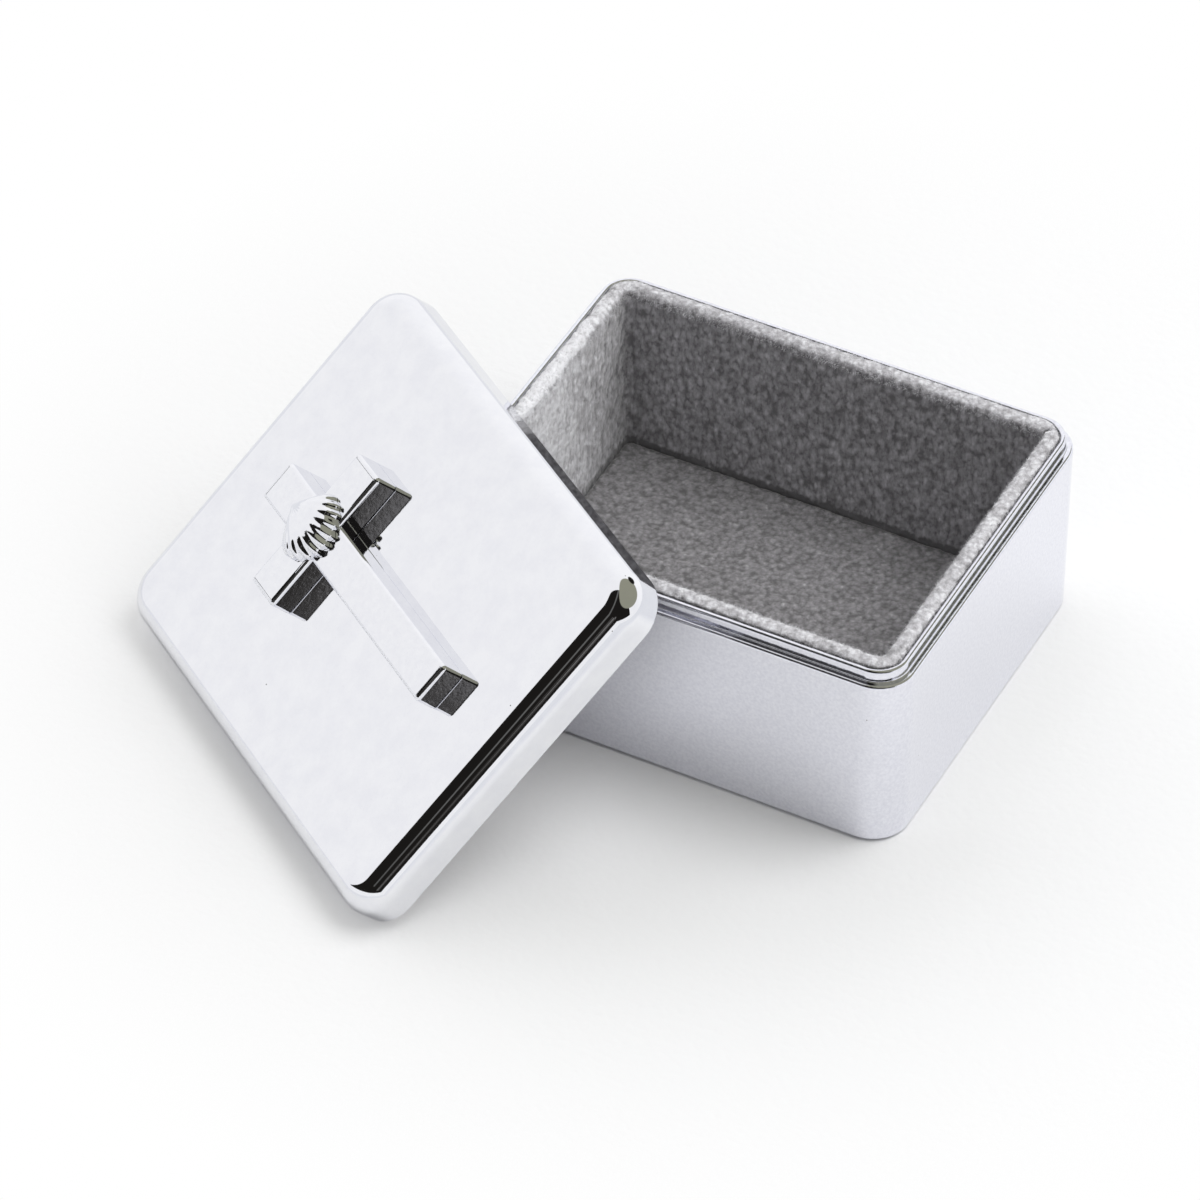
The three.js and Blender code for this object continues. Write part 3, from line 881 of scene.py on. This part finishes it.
def reckon(operation, a, b):
    node = nodes.new("ShaderNodeMath")
    node.operation = operation
    for socket, value in zip(node.inputs, (a, b)):
        if isinstance(value, float):
            socket.default_value = value
        else:
            link(value, socket)
    return node.outputs["Value"]


def blend(share, first, second):
    """Mixes two colours, each a plain colour or an output of another node."""
    node = nodes.new("ShaderNodeMix")
    node.data_type = "RGBA"
    link(share, node.inputs["Factor"])
    for socket, value in ((node.inputs["A"], first), (node.inputs["B"], second)):
        if isinstance(value, tuple):
            socket.default_value = (*value, 1)
        else:
            link(value, socket)
    return node.outputs["Result"]


east, north, up = parts.outputs["X"], parts.outputs["Y"], parts.outputs["Z"]
front = reckon("ADD", north, reckon("MULTIPLY", reckon("ABSOLUTE", east, 0.0), 0.30))
clutter = nodes.new("ShaderNodeTexNoise")
clutter.inputs["Scale"].default_value = 14
clutter.inputs["Detail"].default_value = 5
link(way.outputs["Generated"], clutter.inputs["Vector"])
mottled = between(clutter.outputs["Fac"], 0.40, 0.62)
tents = blend(between(north, -0.1, 0.9), (0.99, 0.99, 1.0), (1.06, 1.06, 1.07))
shade = blend(mottled, (0.02, 0.018, 0.016), (0.20, 0.195, 0.19))
low_patch = reckon("MULTIPLY", between(up, 0.29, 0.31), between(up, 0.45, 0.42))
low_patch = reckon("MULTIPLY", low_patch, between(east, 0.02, 0.06))
low_patch = reckon("MULTIPLY", low_patch, between(east, 0.30, 0.27))
room = blend(low_patch, (0.012, 0.011, 0.010), shade)
strip = reckon("MULTIPLY", between(east, -0.32, -0.29), between(east, -0.19, -0.22))
strip = reckon("MULTIPLY", strip, between(up, 0.44, 0.50))
room = blend(strip, room, (0.13, 0.13, 0.125))
camera_side = reckon("MULTIPLY", between(up, 0.175, 0.19), between(front, -0.018, -0.036))
around = blend(camera_side, tents, room)
for toward, near, far, colour in [
    (CEILING_DISC, 0.785, 0.755, (0.30, 0.30, 0.235)),
    (DARK_CAP, 0.988, 0.980, (0.012, 0.011, 0.010)),
]:
    facing = nodes.new("ShaderNodeVectorMath")
    facing.operation = "DOT_PRODUCT"
    facing.inputs[1].default_value = toward
    link(way.outputs["Generated"], facing.inputs[0])
    around = blend(between(facing.outputs["Value"], far, near), around, colour)
studio = nodes.new("ShaderNodeBackground")
link(around, studio.inputs["Color"])
rays = nodes.new("ShaderNodeLightPath")
seen = nodes.new("ShaderNodeMixShader")
link(rays.outputs["Is Camera Ray"], seen.inputs["Fac"])
link(studio.outputs["Background"], seen.inputs[1])
link(nodes["Background"].outputs["Background"], seen.inputs[2])
link(seen.outputs["Shader"], nodes["World Output"].inputs["Surface"])


def soft_light(name, place, target, size, power):
    bpy.ops.object.light_add(type="AREA", location=place)
    lamp = bpy.context.object
    lamp.name = name
    lamp.data.shape = "SQUARE"
    lamp.data.size = size
    lamp.data.energy = power
    lamp.data.color = (0.98, 0.985, 1)
    lamp.rotation_euler = (Vector(target) - Vector(place)).to_track_quat("-Z", "Y").to_euler()
    lamp.visible_glossy = False
    return lamp


soft_light("side_softbox", (0.38, 0.16, 0.80), (0, 0, 0), 0.65, 6.2)
soft_light("front_fill", (0.05, -0.75, 0.65), (0, 0, 0.01), 0.8, 1.6)

bpy.ops.object.camera_add(
    location=(0.27194, -0.56960, 0.58546),
    rotation=[math.radians(angle) for angle in (47.376, -0.395, 27.407)],
)
camera = bpy.context.object
camera.data.sensor_width = 36
camera.data.lens = 226.63
camera.data.clip_start = 0.01
bpy.context.scene.camera = camera
bpy.context.scene.view_settings.view_transform = "Standard"
